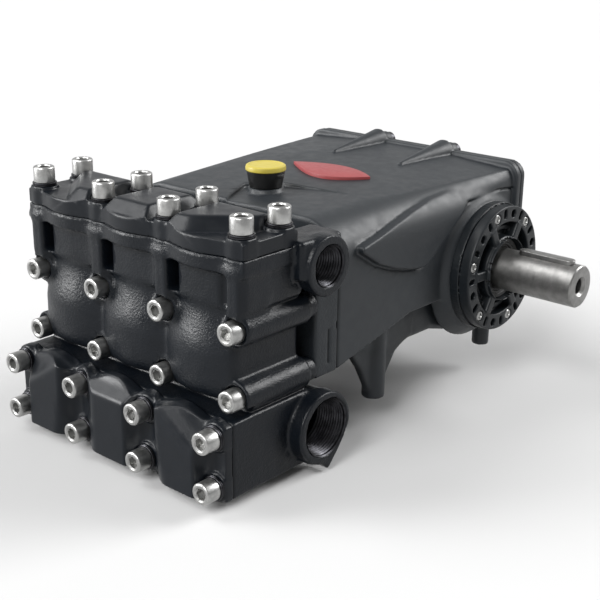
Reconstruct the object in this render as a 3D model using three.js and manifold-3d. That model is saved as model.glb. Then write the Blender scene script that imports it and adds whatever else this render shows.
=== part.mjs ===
// Triplex plunger pump: crankcase with crank drive, pump head with valves, covers and screws.
// Millimetres. X runs along the crankshaft, Y from the pump head (front) to the back, Z up.
// The origin lies on the plane of the feet, below the middle of the crankshaft.

import * as THREE from 'three';
import { mergeVertices } from 'three/addons/utils/BufferGeometryUtils.js';
import Module from 'manifold-3d';

const wasm = await Module();
wasm.setup();

// ---------------------------------------------------------------- driving dimensions

const GAP = 0.3;              // clearance between touching pieces
const PITCH = 70;             // distance between plunger axes
const AXIS_Z = 88;            // height of the crankshaft and of the plungers
const CYLINDERS = [-PITCH, 0, PITCH];
const COLUMNS = [-1.5 * PITCH, -0.5 * PITCH, 0.5 * PITCH, 1.5 * PITCH];

const THROW = 13;             // crank radius, half the stroke
const PHASES = [180, 300, 60];
const SHAFT_R = 17.5;
const SHAFT_END = 207;
const CRANKPIN_R = 23;
const WEB_R = 25;
const ROD_LENGTH = 100;
const BIG_END_R = 32;
const SMALL_END_R = 11;
const WRIST_PIN_R = 7;
const CROSSHEAD_R = 30;
const CROSSHEAD_BORE_R = 26;
const STEM_R = 10;
const PLUNGER_R = 16;

const CASE_HALF = 117;        // half width of the crankcase
const CASE_FRONT = -192;
const CASE_BACK = 50;
const CASE_TOP_BACK = 167;
const CASE_TOP_FRONT = 160;
const CAVITY_HALF = 93;
const FLANGE_HALF = 112;
const FLANGE_FRONT = -218;
const FLANGE_LOW = 48;
const FLANGE_HIGH = 116;
const REAR_COVER_THICK = 7;
const FOOT_X = 95;
const FOOT_FRONT = -124;
const FOOT_BACK = 36;
const FOOT_R = 12.5;

const BEARING_R = 40;
const BEARING_WIDTH = 22;
const BOSS_R = 56;
const BOSS_FACE = 125;
const BEARING_COVER_R = 53.5;
const BEARING_COVER_FACE = 135;
const SEAL_R = 26;

const HEAD_HALF = 113.5;
const HEAD_WAIST = 101;       // half width between the side ribs
const RIM_HALF = 115;
const HEAD_BACK = -226;
const HEAD_LOW = -15;
const HEAD_TOP = 156.7;
const TOP_RIM_LOW = 145.6;    // underside of the block's upper rim
const LOWER_BLOCK_TOP = 42;
const LOWER_BLOCK_FRONT = -306;
const VALVE_Y = -269;         // axis of the discharge valves
const SUCTION_VALVE_Z = 15;
const MANIFOLD_Y = -220;
const PORT_FACE = 126;
const DISCHARGE_Z = 139;
const DISCHARGE_BORE_R = 15.2;
const DISCHARGE_BOSS_R = 22;
const SUCTION_Z = 14.5;
const SUCTION_BORE_R = 22.4;
const SUCTION_BOSS_R = 29;

const SCREW_HEAD_R = 8.2;
const SCREW_HEAD_H = 12;
const SCREW_R = 5;
const HOLE_R = 5.4;
const HEAD_SCREW_SEAT = -292;
const HEAD_SCREW_ROWS = [56, 105.6];
const TOP_SCREW_ROWS = [-287.5, -250.2];
const TOP_COVER_LEVEL = 168.2;
const TOP_PAD_LEVEL = 177.5;
const WASHER = 2.5;
const TOP_BOSS_LEVEL = 170.9;
const FRONT_SCREW_ROWS = [33.9, -4.1];
const FRONT_COVER_LEVEL = -313;
const FRONT_BOSS_LEVEL = -315.3;
const FRONT_PAD_LEVEL = -324.6;

const VALVE_LIFT = 5;
const CAP_Y = -150;

const FINE = 24;              // sides of the largest cylinders
const MEDIUM = 12;
const COARSE = 8;

// ---------------------------------------------------------------- solids

function solid(geometry) {
  const bare = geometry.clone();
  bare.deleteAttribute('normal');
  bare.deleteAttribute('uv');
  const merged = mergeVertices(bare, 1e-4);
  return new wasm.Manifold(new wasm.Mesh({
    numProp: 3,
    vertProperties: new Float32Array(merged.attributes.position.array),
    triVerts: new Uint32Array(merged.index.array),
  }));
}

function union(pieces) {
  return pieces.reduce((whole, piece) => whole.add(piece));
}

function cut(body, pieces) {
  return pieces.reduce((rest, piece) => rest.subtract(piece), body);
}

function block(x0, x1, y0, y1, z0, z1) {
  const geometry = new THREE.BoxGeometry(x1 - x0, y1 - y0, z1 - z0);
  geometry.translate((x0 + x1) / 2, (y0 + y1) / 2, (z0 + z1) / 2);
  return solid(geometry);
}

// A cylinder or cone along an axis, from one place on it to another. centre gives the other two
// coordinates in X, Y, Z order.
function rod(axis, centre, from, to, radius, sides = MEDIUM, endRadius = radius) {
  const geometry = new THREE.CylinderGeometry(endRadius, radius, to - from, sides);
  const middle = (from + to) / 2;
  if (axis === 'x') {
    geometry.rotateZ(-Math.PI / 2);
    geometry.translate(middle, centre[0], centre[1]);
  } else if (axis === 'y') {
    geometry.translate(centre[0], middle, centre[1]);
  } else {
    geometry.rotateX(Math.PI / 2);
    geometry.translate(centre[0], centre[1], middle);
  }
  return solid(geometry);
}

// An outline in two of the axes, pushed along the third.
function prism(axis, points, from, to) {
  const shape = new THREE.Shape(points.map(([u, v]) => new THREE.Vector2(u, v)));
  const geometry = new THREE.ExtrudeGeometry(shape, { depth: to - from, bevelEnabled: false });
  if (axis === 'x') {
    geometry.applyMatrix4(new THREE.Matrix4().set(0, 0, 1, from, 1, 0, 0, 0, 0, 1, 0, 0, 0, 0, 0, 1));
  } else if (axis === 'y') {
    geometry.applyMatrix4(new THREE.Matrix4().set(1, 0, 0, 0, 0, 0, -1, to, 0, 1, 0, 0, 0, 0, 0, 1));
  } else {
    geometry.translate(0, 0, from);
  }
  return solid(geometry);
}

function arc(cx, cy, radius, startDegrees, endDegrees, steps) {
  const points = [];
  for (let i = 0; i <= steps; i += 1) {
    const angle = THREE.MathUtils.degToRad(startDegrees + (endDegrees - startDegrees) * i / steps);
    points.push([cx + radius * Math.cos(angle), cy + radius * Math.sin(angle)]);
  }
  return points;
}

function roundedRectangle(x0, x1, y0, y1, radius, steps = 4) {
  return [
    ...arc(x1 - radius, y0 + radius, radius, -90, 0, steps),
    ...arc(x1 - radius, y1 - radius, radius, 0, 90, steps),
    ...arc(x0 + radius, y1 - radius, radius, 90, 180, steps),
    ...arc(x0 + radius, y0 + radius, radius, 180, 270, steps),
  ];
}

// A body skinned over outlines (x, z) that share a point count, one at each y.
function loft(sections) {
  const ring = sections[0].outline.length;
  const positions = [];
  const index = [];
  for (const { y, outline } of sections) {
    for (const [x, z] of outline) positions.push(x, y, z);
  }
  for (let s = 0; s < sections.length - 1; s += 1) {
    for (let i = 0; i < ring; i += 1) {
      const a = s * ring + i;
      const b = s * ring + (i + 1) % ring;
      index.push(a, a + ring, b, b, a + ring, b + ring);
    }
  }
  const last = (sections.length - 1) * ring;
  for (let i = 1; i < ring - 1; i += 1) {
    index.push(0, i, i + 1);
    index.push(last, last + i + 1, last + i);
  }
  const geometry = new THREE.BufferGeometry();
  geometry.setAttribute('position', new THREE.Float32BufferAttribute(positions, 3));
  geometry.setIndex(index);
  let body = solid(geometry);
  if (body.volume() < 0) {
    for (let i = 0; i < index.length; i += 3) [index[i], index[i + 1]] = [index[i + 1], index[i]];
    geometry.setIndex(index);
    body = solid(geometry);
  }
  return body;
}

const pump = new THREE.Group();

function addPiece(name, body, material) {
  const mesh = body.getMesh();
  const geometry = new THREE.BufferGeometry();
  geometry.setAttribute('position', new THREE.BufferAttribute(new Float32Array(mesh.vertProperties), 3));
  geometry.setIndex(new THREE.BufferAttribute(new Uint32Array(mesh.triVerts), 1));
  geometry.computeVertexNormals();
  const piece = new THREE.Mesh(geometry, material);
  piece.name = name;
  pump.add(piece);
}

// ---------------------------------------------------------------- materials

function finish(color, roughness, metalness) {
  return new THREE.MeshStandardMaterial({ color, roughness, metalness });
}

const glossBlack = finish(0x0b0c0e, 0.3, 0.2);
const satinBlack = finish(0x17181a, 0.5, 0.2);
const steel = finish(0xb8b8b5, 0.28, 1);
const castSteel = finish(0x6d6e70, 0.5, 0.9);
const zinc = finish(0xc4c5c2, 0.3, 1);
const ceramic = finish(0xe9e6dd, 0.2, 0);
const rubber = finish(0x101010, 0.8, 0);
const yellowPlastic = finish(0xe8c71c, 0.45, 0);
const glass = finish(0xb9c4b0, 0.1, 0);

// ---------------------------------------------------------------- crankcase

function caseSection(y, half, low, high, shoulder) {
  const lowRadius = 10;
  return {
    y,
    outline: [
      ...arc(half - lowRadius, low + lowRadius, lowRadius, -90, 0, 3),
      ...arc(half - shoulder, high - shoulder, shoulder, 0, 90, 6),
      ...arc(shoulder - half, high - shoulder, shoulder, 90, 180, 6),
      ...arc(lowRadius - half, low + lowRadius, lowRadius, 180, 270, 3),
    ],
  };
}

function crankcase() {
  const shell = loft([
    caseSection(CASE_FRONT, CASE_HALF - 3, FLANGE_LOW + 4, CASE_TOP_FRONT, 34),
    caseSection(-130, CASE_HALF - 1, 56, 163, 30),
    caseSection(-60, CASE_HALF, 58, 166, 16),
    caseSection(CASE_BACK, CASE_HALF, 50, CASE_TOP_BACK, 10),
  ]);
  const keelHalf = 98;
  const keel = prism('x', [
    [CASE_FRONT, 100], [CASE_FRONT, 52], [-150, 46], [-100, 39], [-50, 38], [-25, 31],
    [CASE_BACK, 31], [CASE_BACK, 100],
  ], -keelHalf, keelHalf);
  const flange = block(-FLANGE_HALF, FLANGE_HALF, FLANGE_FRONT, CASE_FRONT + 1, FLANGE_LOW, FLANGE_HIGH);
  const solids = [shell, keel, flange];
  for (const side of [-1, 1]) {
    const [from, to] = side > 0 ? [90, BOSS_FACE] : [-BOSS_FACE, -90];
    solids.push(rod('x', [0, AXIS_Z], from, to, BOSS_R, FINE));
    solids.push(rod('z', [side * FOOT_X, FOOT_FRONT], 0, 70, FOOT_R, MEDIUM));
    solids.push(rod('z', [side * FOOT_X, FOOT_BACK], 0, 70, FOOT_R, MEDIUM));
    solids.push(prism('x', [[-160, 56], [-137, 4], [-114, 16], [-85, 36], [-85, 60]],
      side * FOOT_X - 4, side * FOOT_X + 4));
    solids.push(rod('y', [side * 37, 165], -15, CASE_BACK, 5, COARSE, 12));
  }
  solids.push(rod('z', [0, CAP_Y], 130, 163, 15.5, MEDIUM));

  const cuts = [
    block(-CASE_HALF * 2, CASE_HALF * 2, CASE_BACK, CASE_BACK + 20, 0, 200),
    block(-CAVITY_HALF, CAVITY_HALF, -58, CASE_BACK + 1, 42, 134),
  ];
  cuts.push(prism('y', arc(0, 134 - 40, 101, 24, 156, 12), -58, CASE_BACK + 1)
    .intersect(block(-CAVITY_HALF + 14, CAVITY_HALF - 14, -60, CASE_BACK + 2, 133, 156)));
  for (const x of CYLINDERS) {
    cuts.push(rod('y', [x, AXIS_Z], -165, -55, CROSSHEAD_R + GAP, FINE));
    cuts.push(rod('y', [x, AXIS_Z], FLANGE_FRONT - 1, -164, 20, MEDIUM));
  }
  cuts.push(rod('x', [0, AXIS_Z], -BOSS_FACE - 1, BOSS_FACE + 1, BEARING_R + GAP, FINE));
  cuts.push(rod('z', [0, CAP_Y], 110, 170, 12, MEDIUM));
  for (const x of COLUMNS) {
    for (const z of HEAD_SCREW_ROWS) cuts.push(rod('y', [x, z], FLANGE_FRONT - 1, -198, HOLE_R, COARSE));
  }
  for (const side of [-1, 1]) {
    for (const y of [FOOT_FRONT, FOOT_BACK]) cuts.push(rod('z', [side * FOOT_X, y], -1, 20, 5.1, COARSE));
  }
  return cut(union(solids), cuts);
}

addPiece('crankcase', crankcase(), satinBlack);

function rearCover() {
  const from = CASE_BACK + GAP;
  const to = from + REAR_COVER_THICK;
  const plate = prism('y', roundedRectangle(-113, 113, 36, 163, 12), from, to);
  const dome = prism('y', roundedRectangle(-92, 92, 50, 148, 20), to - 1, to + 3);
  const ears = [-37, 37].map((x) => rod('y', [x, 166], from, to + 6, 8, COARSE));
  const holes = [rod('y', [0, 78], from - 1, to + 10, 13, MEDIUM), rod('y', [0, 50], from - 1, to + 10, 7, COARSE)];
  return cut(union([plate, dome, ...ears]), holes);
}

addPiece('rear_cover', rearCover(), satinBlack);
addPiece('sight_glass', union([
  rod('y', [0, 78], CASE_BACK + 2, 60.3, 12.6, MEDIUM),
  rod('y', [0, 78], 60.6, 65, 15.5, MEDIUM),
  rod('y', [0, 78], 59, 61, 12.6, MEDIUM),
]), glass);
addPiece('drain_plug', union([
  rod('y', [0, 50], CASE_BACK + 2, 61, 6.6, COARSE),
  rod('y', [0, 50], 60.6, 68, 10, 6),
]), zinc);

// ---------------------------------------------------------------- bearings, bearing covers, shaft seal

function bearing(side) {
  const [from, to] = side > 0 ? [94, 94 + BEARING_WIDTH] : [-94 - BEARING_WIDTH, -94];
  return cut(rod('x', [0, AXIS_Z], from, to, BEARING_R, FINE), [
    rod('x', [0, AXIS_Z], from - 1, to + 1, SHAFT_R + GAP, FINE),
  ]);
}

function bearingCover(side, open) {
  const along = (a, b, radius, sides = FINE) => {
    const [from, to] = side > 0 ? [a, b] : [-b, -a];
    return rod('x', [0, AXIS_Z], from, to, radius, sides);
  };
  const body = along(BOSS_FACE + GAP, BEARING_COVER_FACE, BEARING_COVER_R).add(along(117, 126, BEARING_R));
  const groove = along(129, BEARING_COVER_FACE + 1, 38).subtract(along(128, BEARING_COVER_FACE + 2, 28));
  const cuts = [groove];
  if (open) {
    cuts.push(along(116, 140, SHAFT_R + 2.5));
    cuts.push(along(124, 140, SEAL_R + GAP));
  } else {
    cuts.push(along(116, 127, SHAFT_R + 2.5));
  }
  return cut(body, cuts);
}

addPiece('main_bearing_right', bearing(1), steel);
addPiece('main_bearing_left', bearing(-1), steel);
addPiece('bearing_cover_right', bearingCover(1, true), glossBlack);
addPiece('bearing_cover_left', bearingCover(-1, false), glossBlack);
addPiece('shaft_seal', cut(rod('x', [0, AXIS_Z], 124.3, 133.5, SEAL_R, FINE), [
  rod('x', [0, AXIS_Z], 123, 135, SHAFT_R + GAP, FINE),
]), rubber);

// ---------------------------------------------------------------- crankshaft, rods, crossheads, plungers

const crankPin = (n) => {
  const angle = THREE.MathUtils.degToRad(PHASES[n]);
  return [THROW * Math.cos(angle), AXIS_Z + THROW * Math.sin(angle)];
};

const KEY = { from: 150, to: 200, half: 5, low: AXIS_Z + 12.5, high: AXIS_Z + SHAFT_R + 3 };

function crankshaft() {
  const solids = [
    rod('x', [0, AXIS_Z], -118, -85, SHAFT_R, FINE),
    rod('x', [0, AXIS_Z], 85, SHAFT_END - 2, SHAFT_R, FINE),
    rod('x', [0, AXIS_Z], SHAFT_END - 2, SHAFT_END, SHAFT_R, FINE, SHAFT_R - 1.5),
    rod('x', [0, AXIS_Z], -93.5, -84, WEB_R, FINE),
    rod('x', [0, AXIS_Z], -56, -14, WEB_R, FINE),
    rod('x', [0, AXIS_Z], 14, 56, WEB_R, FINE),
    rod('x', [0, AXIS_Z], 84, 93.5, WEB_R, FINE),
  ];
  CYLINDERS.forEach((x, n) => solids.push(rod('x', crankPin(n), x - 14.5, x + 14.5, CRANKPIN_R, FINE)));
  const keyway = block(KEY.from - GAP, KEY.to + GAP, -KEY.half - GAP, KEY.half + GAP, KEY.low - GAP, 110);
  const centreHole = rod('x', [0, AXIS_Z], SHAFT_END - 8, SHAFT_END + 1, 1, COARSE, 5.5);
  return cut(union(solids), [keyway, centreHole]);
}

addPiece('crankshaft', crankshaft(), castSteel);
addPiece('shaft_key', prism('z', roundedRectangle(KEY.from, KEY.to, -KEY.half, KEY.half, 4.9, 4),
  KEY.low, KEY.high), steel);

CYLINDERS.forEach((x, n) => {
  const [pinY, pinZ] = crankPin(n);
  const eyeY = pinY - ROD_LENGTH;
  const conRod = cut(union([
    rod('x', [pinY, pinZ], x - 12, x + 12, BIG_END_R, FINE),
    rod('x', [eyeY, pinZ], x - 8, x + 8, SMALL_END_R, MEDIUM),
    block(x - 6, x + 6, eyeY, pinY, pinZ - 9, pinZ + 9),
  ]), [
    rod('x', [pinY, pinZ], x - 15, x + 15, CRANKPIN_R + GAP, FINE),
    rod('x', [eyeY, pinZ], x - 15, x + 15, WRIST_PIN_R + GAP, MEDIUM),
  ]);
  addPiece(`con_rod_${n + 1}`, conRod, castSteel);
  addPiece(`wrist_pin_${n + 1}`, rod('x', [eyeY, pinZ], x - 13, x + 13, WRIST_PIN_R, MEDIUM), steel);

  const slide = pinY;
  const cupWall = -140 + slide;
  const cupFront = cupWall - 8;
  const stemFront = cupFront - 25;
  const crosshead = cut(union([
    rod('y', [x, AXIS_Z], cupFront, -72 + slide, CROSSHEAD_R, FINE),
    rod('y', [x, AXIS_Z], stemFront, cupFront + 1, STEM_R, MEDIUM),
  ]), [rod('y', [x, AXIS_Z], cupWall, 0, CROSSHEAD_BORE_R, FINE)]);
  addPiece(`crosshead_${n + 1}`, crosshead, castSteel);
  const plungerFront = VALVE_Y + slide;
  const plunger = cut(rod('y', [x, AXIS_Z], plungerFront, cupFront - GAP, PLUNGER_R, FINE), [
    rod('y', [x, AXIS_Z], stemFront - GAP, cupFront + 1, STEM_R + GAP, MEDIUM),
  ]);
  addPiece(`plunger_${n + 1}`, plunger, ceramic);
});

// ---------------------------------------------------------------- pump head

// Outline of the covers and of the head's upper rim: a lobe between each pair of screw columns.
function scalloped(half, near, far, dip, lobes) {
  const front = [];
  for (let lobe = 0; lobe < lobes; lobe += 1) {
    const steps = 4;
    for (let i = 0; i < steps; i += 1) {
      const t = i / steps;
      front.push([-half + 2 * half * (lobe + t) / lobes, near - dip * Math.sin(Math.PI * t)]);
    }
  }
  front.push([half, near]);
  const back = front.map(([x, y]) => [-x, near + far - y]);
  return [...front, ...back];
}

function pumpHead() {
  const solids = [
    block(-HEAD_WAIST, HEAD_WAIST, -294, HEAD_BACK, LOWER_BLOCK_TOP - 2, TOP_RIM_LOW + 1),
    block(-HEAD_HALF, HEAD_HALF, -294, -236, HEAD_SCREW_ROWS[1] + 11, TOP_RIM_LOW + 1),
    prism('z', scalloped(RIM_HALF, -299, -236, 4, 3), TOP_RIM_LOW, HEAD_TOP),
    block(-HEAD_HALF, HEAD_HALF, LOWER_BLOCK_FRONT, HEAD_BACK, HEAD_LOW, LOWER_BLOCK_TOP),
    rod('x', [MANIFOLD_Y, DISCHARGE_Z], -PORT_FACE, PORT_FACE, DISCHARGE_BOSS_R, FINE),
    rod('x', [MANIFOLD_Y, SUCTION_Z], -PORT_FACE, PORT_FACE, SUCTION_BOSS_R, FINE),
  ];
  for (const side of [-1, 1]) {
    const lug = [[-232, -8], [-224, -14], [MANIFOLD_Y, -21.5], [-216, -14], [-208, -8]];
    solids.push(side > 0 ? prism('x', lug, PORT_FACE - 14, PORT_FACE) : prism('x', lug, -PORT_FACE, 14 - PORT_FACE));
  }
  for (const x of COLUMNS) {
    for (const z of HEAD_SCREW_ROWS) solids.push(rod('y', [x, z], HEAD_SCREW_SEAT, HEAD_BACK, 12, MEDIUM));
    solids.push(block(x - 6.5, x + 6.5, -300, -280, HEAD_SCREW_ROWS[1] + 8, TOP_RIM_LOW + 1));
  }
  for (const x of CYLINDERS) {
    solids.push(rod('z', [x, VALVE_Y], 60, TOP_RIM_LOW + 1, 31, MEDIUM));
    solids.push(rod('y', [x, AXIS_Z], HEAD_BACK - 1, FLANGE_FRONT - GAP, 31, MEDIUM));
  }

  const cuts = [
    rod('x', [MANIFOLD_Y, DISCHARGE_Z], -PORT_FACE - 1, PORT_FACE + 1, DISCHARGE_BORE_R, MEDIUM),
    rod('x', [MANIFOLD_Y, SUCTION_Z], -PORT_FACE - 1, PORT_FACE + 1, SUCTION_BORE_R, FINE),
  ];
  for (const x of CYLINDERS) {
    cuts.push(rod('y', [x, AXIS_Z], -290, FLANGE_FRONT + 1, PLUNGER_R + 2, MEDIUM));
    cuts.push(rod('y', [x, AXIS_Z], -244, FLANGE_FRONT + 1, 26 + GAP, MEDIUM));
    cuts.push(rod('z', [x, VALVE_Y], SUCTION_VALVE_Z, HEAD_TOP + 1, 12, MEDIUM));
    cuts.push(rod('z', [x, VALVE_Y], 122, HEAD_TOP + 1, 17, MEDIUM));
    cuts.push(rod('y', [x, DISCHARGE_Z], VALVE_Y, MANIFOLD_Y, 9, COARSE));
    cuts.push(rod('y', [x, SUCTION_VALVE_Z], LOWER_BLOCK_FRONT - 1, -246, 19, MEDIUM));
    cuts.push(rod('y', [x, SUCTION_VALVE_Z], -247, -230, 13, MEDIUM));
  }
  for (const x of COLUMNS) {
    for (const z of HEAD_SCREW_ROWS) {
      cuts.push(rod('y', [x, z], HEAD_SCREW_SEAT, HEAD_BACK + 1, HOLE_R, COARSE));
      cuts.push(rod('y', [x, z], -320, HEAD_SCREW_SEAT, SCREW_HEAD_R + 1.5, COARSE));
    }
    for (const y of TOP_SCREW_ROWS) cuts.push(rod('z', [x, y], 124, HEAD_TOP + 1, HOLE_R, COARSE));
    for (const z of FRONT_SCREW_ROWS) cuts.push(rod('y', [x, z], LOWER_BLOCK_FRONT - 1, -272, HOLE_R, COARSE));
  }
  return cut(union(solids), cuts);
}

addPiece('pump_head', pumpHead(), glossBlack);

function topValveCover() {
  const low = HEAD_TOP + GAP;
  const solids = [
    prism('z', scalloped(RIM_HALF - 1, -298, -237, 3.5, 3), low, TOP_COVER_LEVEL),
    prism('z', [[-17, -290], [17, -290], [17, -248], [-17, -248]], low, TOP_PAD_LEVEL),
  ];
  for (const side of [-1, 1]) {
    const pad = [[48, -290], [62, -292], [92, -256], [92, -248], [48, -248]].map(([x, y]) => [side * x, y]);
    if (side < 0) pad.reverse();
    solids.push(prism('z', pad, low, TOP_PAD_LEVEL));
  }
  for (const x of COLUMNS) {
    for (const y of TOP_SCREW_ROWS) solids.push(rod('z', [x, y], low, TOP_BOSS_LEVEL, 12, MEDIUM));
  }
  const cuts = CYLINDERS.map((x) => rod('z', [x, VALVE_Y], low - 1, 166, 4.4, COARSE));
  for (const x of COLUMNS) {
    for (const y of TOP_SCREW_ROWS) cuts.push(rod('z', [x, y], low - 1, 190, HOLE_R, COARSE));
    for (const y of TOP_SCREW_ROWS) {
      cuts.push(rod('z', [x, y], TOP_BOSS_LEVEL, 190, SCREW_HEAD_R + 1, COARSE));
    }
  }
  return cut(union(solids), cuts);
}

addPiece('top_valve_cover', topValveCover(), glossBlack);

function frontValveCover() {
  const back = LOWER_BLOCK_FRONT - GAP;
  const outline = scalloped(HEAD_HALF, HEAD_LOW + 1, 44, 0, 3).slice(0, 1)
    .concat([[HEAD_HALF, HEAD_LOW + 1]], scalloped(HEAD_HALF, HEAD_LOW + 1, 44, -3, 3).slice(13));
  const solids = [
    prism('y', outline, FRONT_COVER_LEVEL, back),
    prism('y', [[-17, -6], [17, -6], [17, 36], [-17, 36]], FRONT_PAD_LEVEL, back),
  ];
  for (const side of [-1, 1]) {
    const pad = [[50, -6], [91, -6], [91, 28], [50, 46]].map(([x, z]) => [side * x, z]);
    if (side < 0) pad.reverse();
    solids.push(prism('y', pad, FRONT_PAD_LEVEL, back));
  }
  for (const x of COLUMNS) {
    for (const z of FRONT_SCREW_ROWS) {
      solids.push(rod('y', [x, z], FRONT_BOSS_LEVEL, back, 11.5, MEDIUM).intersect(
        block(-HEAD_HALF, HEAD_HALF, FRONT_BOSS_LEVEL - 1, back, HEAD_LOW + 1, 60)));
    }
  }
  const cuts = CYLINDERS.map((x) => rod('y', [x, SUCTION_VALVE_Z], -314, back + 1, 4.4, COARSE));
  for (const x of COLUMNS) {
    for (const z of FRONT_SCREW_ROWS) {
      cuts.push(rod('y', [x, z], FRONT_BOSS_LEVEL - 20, back + 1, HOLE_R, COARSE));
      cuts.push(rod('y', [x, z], FRONT_BOSS_LEVEL - 20, FRONT_BOSS_LEVEL, SCREW_HEAD_R + 1, COARSE));
    }
  }
  return cut(union(solids), cuts);
}

addPiece('front_valve_cover', frontValveCover(), glossBlack);

// ---------------------------------------------------------------- valves and packings

CYLINDERS.forEach((x, n) => {
  addPiece(`packing_${n + 1}`, cut(rod('y', [x, AXIS_Z], -243.7, -222, 26, MEDIUM), [
    rod('y', [x, AXIS_Z], -250, -210, PLUNGER_R + GAP, FINE),
  ]), rubber);
  addPiece(`suction_valve_${n + 1}`, union([
    rod('y', [x, SUCTION_VALVE_Z], -251, -246.3, 16.5, MEDIUM),
    rod('y', [x, SUCTION_VALVE_Z], -314 + VALVE_LIFT + 1, -250, 4, COARSE),
  ]), steel);
  addPiece(`discharge_valve_${n + 1}`, union([
    rod('z', [x, VALVE_Y], 122.3, 127, 15.5, MEDIUM),
    rod('z', [x, VALVE_Y], 126, 165 - VALVE_LIFT, 4, COARSE),
  ]), steel);
});

// ---------------------------------------------------------------- screws

// A socket-head cap screw with its under-head plane at the origin and its head towards +Z.
function capScrew(length) {
  const profile = [[0, -length], [SCREW_R, -length], [SCREW_R, 0], [SCREW_HEAD_R, 0],
    [SCREW_HEAD_R, SCREW_HEAD_H], [0, SCREW_HEAD_H]];
  const geometry = new THREE.LatheGeometry(profile.map(([r, z]) => new THREE.Vector2(r, z)), COARSE);
  geometry.rotateX(Math.PI / 2);
  return cut(solid(geometry), [rod('z', [0, 0], SCREW_HEAD_H - 6, SCREW_HEAD_H + 1, 5.7, 6)]);
}

const topScrew = capScrew(44);
const longScrew = capScrew(90).rotate([90, 0, 0]);
const coverScrew = capScrew(42).rotate([90, 0, 0]);

let count = 0;
for (const y of TOP_SCREW_ROWS) {
  for (const x of COLUMNS) {
    count += 1;
    addPiece(`top_screw_${count}`, topScrew.translate([x, y, TOP_BOSS_LEVEL + WASHER]), zinc);
  }
}
count = 0;
for (const z of HEAD_SCREW_ROWS) {
  for (const x of COLUMNS) {
    count += 1;
    addPiece(`head_screw_${count}`, longScrew.translate([x, HEAD_SCREW_SEAT - GAP, z]), zinc);
  }
}
count = 0;
for (const z of FRONT_SCREW_ROWS) {
  for (const x of COLUMNS) {
    count += 1;
    addPiece(`front_cover_screw_${count}`, coverScrew.translate([x, FRONT_BOSS_LEVEL - WASHER, z]), zinc);
  }
}

// ---------------------------------------------------------------- oil cap

addPiece('oil_cap', union([
  rod('z', [0, CAP_Y], 145, 164, 11.7, MEDIUM),
  rod('z', [0, CAP_Y], 163 + GAP, 177, 14.5, MEDIUM, 17.5),
  rod('z', [0, CAP_Y], 176, 181, 18.2, MEDIUM),
]), yellowPlastic);

export default pump;
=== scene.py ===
"""Looks of a triplex plunger pump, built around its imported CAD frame.

Lengths in the shape code are millimetres: X along the crankshaft, Y from the pump head to the
back, Z up. Meshes are scaled to metres when they are made.
"""

import math

import bpy
import numpy as np
import openvdb
from mathutils import Matrix, Vector


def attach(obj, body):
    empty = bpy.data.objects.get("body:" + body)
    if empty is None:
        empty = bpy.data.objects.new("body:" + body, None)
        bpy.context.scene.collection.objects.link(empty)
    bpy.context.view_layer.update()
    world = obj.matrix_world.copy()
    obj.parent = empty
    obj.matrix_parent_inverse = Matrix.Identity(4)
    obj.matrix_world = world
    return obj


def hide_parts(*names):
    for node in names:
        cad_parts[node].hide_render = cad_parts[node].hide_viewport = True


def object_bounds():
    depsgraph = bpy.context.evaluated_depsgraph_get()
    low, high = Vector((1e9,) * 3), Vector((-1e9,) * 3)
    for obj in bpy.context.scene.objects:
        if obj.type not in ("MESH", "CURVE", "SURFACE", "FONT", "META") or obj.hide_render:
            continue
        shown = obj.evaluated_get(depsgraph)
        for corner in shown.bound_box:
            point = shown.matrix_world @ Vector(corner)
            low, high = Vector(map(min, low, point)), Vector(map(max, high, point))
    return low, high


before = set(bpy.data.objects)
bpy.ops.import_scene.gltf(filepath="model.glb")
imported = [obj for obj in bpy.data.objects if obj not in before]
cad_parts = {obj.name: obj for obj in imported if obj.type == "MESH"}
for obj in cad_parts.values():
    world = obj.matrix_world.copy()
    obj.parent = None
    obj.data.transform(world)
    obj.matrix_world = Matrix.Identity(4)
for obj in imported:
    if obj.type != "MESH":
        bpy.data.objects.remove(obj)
cad_box = [list(corner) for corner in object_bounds()]

MM = 0.001

# ---------------------------------------------------------------- driving dimensions

PITCH = 70                       # between plunger axes
AXIS_Z = 88                      # height of the crankshaft and the plungers
CYLINDERS = (-PITCH, 0, PITCH)
COLUMNS = (-105, -35, 35, 105)   # screw columns

GAP = 0.3                        # between castings that meet

SHAFT_R = 17.5
SHAFT_END = 207
SHAFT_SHOULDER = 95
KEY_SPAN = (150, 200)
KEY_HALF_WIDTH = 4.9
KEY_FLOOR = 12.5                 # above the shaft's axis
THROW = 13
PHASES = (180, 300, 60)
WEB_R = 25
CRANK_WEBS = ((-56, -14), (14, 56))

HEAD_BACK = -226
HEAD_LOW = -15
HEAD_TOP = 156.7
RIM_LOW = 145.6
LOWER_BLOCK_TOP = 43
LOWER_BLOCK_FRONT = -306
BLOCK_HALF = 113.5
FLANGE_HALF = 112
WAIST_HALF = 101
RIM_HALF = 115
VALVE_Y = -269
SUCTION_VALVE_Z = 15
MANIFOLD_Y = -220
PORT_FACE = 126
DISCHARGE_Z = 139
SUCTION_Z = 14.5
DISCHARGE_PORT_R = 15.2
SUCTION_PORT_R = 22.4
THREAD_DEPTH = 24
THREAD_TURN = 2.3
VALVE_SPIGOT_R = 4.6             # room for the valve stems in the covers
PLUNGER_BORE_R = 18
PACKING_BORE_R = 26.4

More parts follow.
